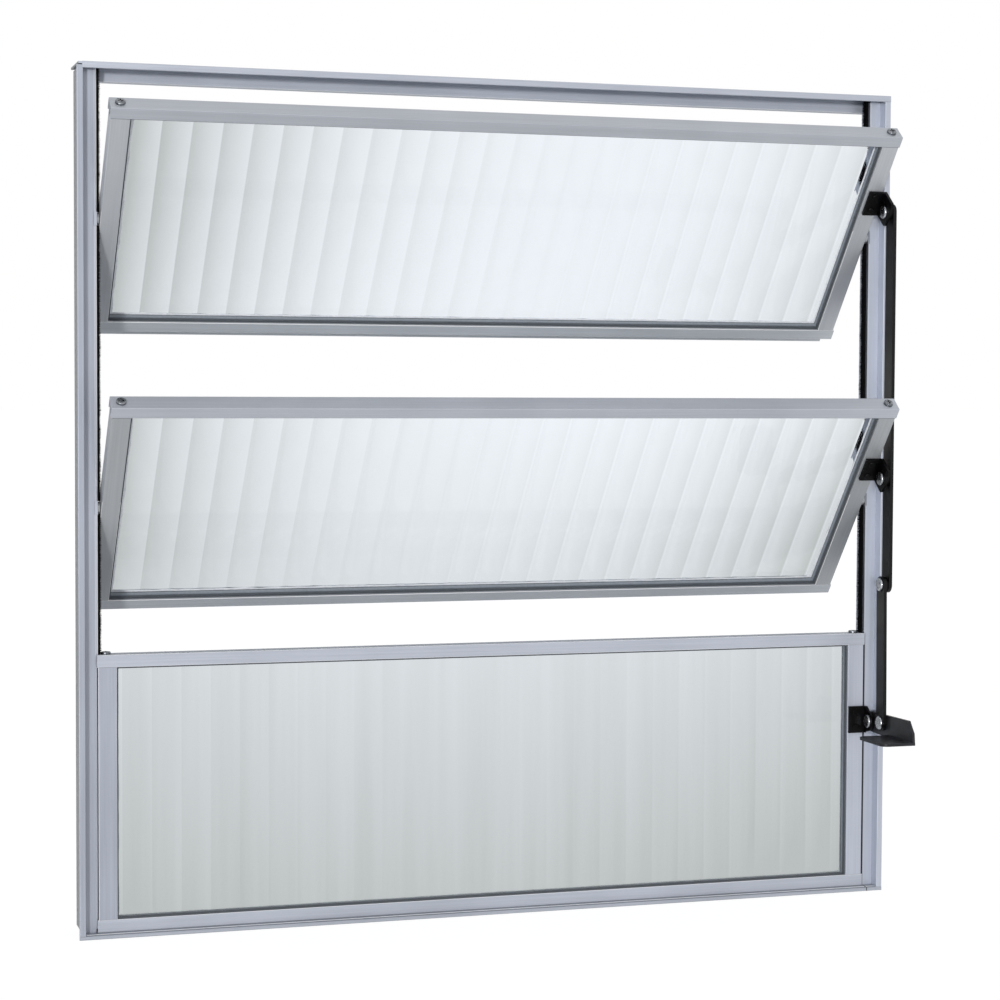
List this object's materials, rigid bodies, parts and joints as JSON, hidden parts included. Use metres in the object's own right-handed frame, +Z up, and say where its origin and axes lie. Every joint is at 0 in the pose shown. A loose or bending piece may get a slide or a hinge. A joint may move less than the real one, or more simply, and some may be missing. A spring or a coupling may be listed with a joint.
{
  "type": "pivot window",
  "caption": "Aluminium pivot window with fluted glass: fixed lower sash and turning upper sashes, worked together by side link bars and a lever.",
  "frame": {"origin": "centre of the sill's bottom face", "axes": "+X along the width, towards the linkage side; +Y from the room to the outside; +Z up"},
  "size_m": [0.6, 0.1593, 0.594],
  "materials": {
    "satin_aluminium": "satin anodised",
    "fluted_glass": "fluted",
    "gasket_rubber": "matt",
    "brush_pile": "brush pile",
    "nylon": "natural nylon",
    "black_steel": "semi-gloss black",
    "zinc_steel": "bright zinc"
  },
  "bodies": {
    "frame": {"head": "satin_aluminium", "sill": "satin_aluminium", "left_jamb": "satin_aluminium", "right_jamb": "satin_aluminium", "left_brush": "brush_pile", "right_brush": "brush_pile", "pivot_bushes": "nylon", "fixed_sash_top_rail": "satin_aluminium", "fixed_sash_bottom_rail": "satin_aluminium", "fixed_sash_left_stile": "satin_aluminium", "fixed_sash_right_stile": "satin_aluminium", "fixed_sash_glass": "fluted_glass", "fixed_sash_gasket": "gasket_rubber", "fixed_sash_screws": "zinc_steel", "lever_bracket": "black_steel", "lever_bracket_screws": "black_steel", "lever_pivot_rivet": "zinc_steel"},
    "upper_sash": {"upper_sash_top_rail": "satin_aluminium", "upper_sash_bottom_rail": "satin_aluminium", "upper_sash_left_stile": "satin_aluminium", "upper_sash_right_stile": "satin_aluminium", "upper_sash_glass": "fluted_glass", "upper_sash_gasket": "gasket_rubber", "upper_sash_screws": "zinc_steel", "upper_sash_pins": "zinc_steel", "upper_sash_bracket": "black_steel", "upper_sash_bracket_screws": "black_steel"},
    "middle_sash": {"middle_sash_top_rail": "satin_aluminium", "middle_sash_bottom_rail": "satin_aluminium", "middle_sash_left_stile": "satin_aluminium", "middle_sash_right_stile": "satin_aluminium", "middle_sash_glass": "fluted_glass", "middle_sash_gasket": "gasket_rubber", "middle_sash_screws": "zinc_steel", "middle_sash_pins": "zinc_steel", "middle_sash_bracket": "black_steel", "middle_sash_bracket_screws": "black_steel"},
    "link_bar": {"link_bar": "black_steel", "link_rivets": "zinc_steel", "link_spacers": "black_steel"},
    "lower_link_bar": {"lower_link_bar": "black_steel"},
    "lever": {"lever_handle": "black_steel", "lever_pin": "zinc_steel"}
  },
  "joints": [
    {"name": "upper_sash_pivot", "type": "hinge", "parent": "frame", "child": "upper_sash", "pos_m": [0, -0.008, 0.4898], "axis": [1, 0, 0], "range_deg": [-39.5, 5.5]},
    {"name": "middle_sash_pivot", "type": "hinge", "parent": "frame", "child": "middle_sash", "pos_m": [0, -0.008, 0.2943], "axis": [1, 0, 0], "range_deg": [-39.5, 5.5]},
    {"name": "link_bar_rivet", "type": "hinge", "parent": "upper_sash", "child": "link_bar", "pos_m": [0.288, -0.0412, 0.50649], "axis": [1, 0, 0], "range_deg": [-5.5, 39.5]},
    {"name": "lower_bar_joint", "type": "hinge", "parent": "link_bar", "child": "lower_link_bar", "pos_m": [0.287, -0.0412, 0.2328], "axis": [1, 0, 0], "range_deg": [-3.87, 0.54]},
    {"name": "lever_pivot", "type": "hinge", "parent": "frame", "child": "lever", "pos_m": [0.287, -0.0218, 0.1286], "axis": [1, 0, 0], "range_deg": [-59.25, 8.25]}
  ],
  "couplings": [
    {"joint": "middle_sash_pivot", "follows": "upper_sash_pivot", "ratio": 1},
    {"joint": "link_bar_rivet", "follows": "upper_sash_pivot", "ratio": -1},
    {"joint": "lower_bar_joint", "follows": "upper_sash_pivot", "ratio": 0.098},
    {"joint": "lever_pivot", "follows": "upper_sash_pivot", "ratio": 1.5}
  ]
}
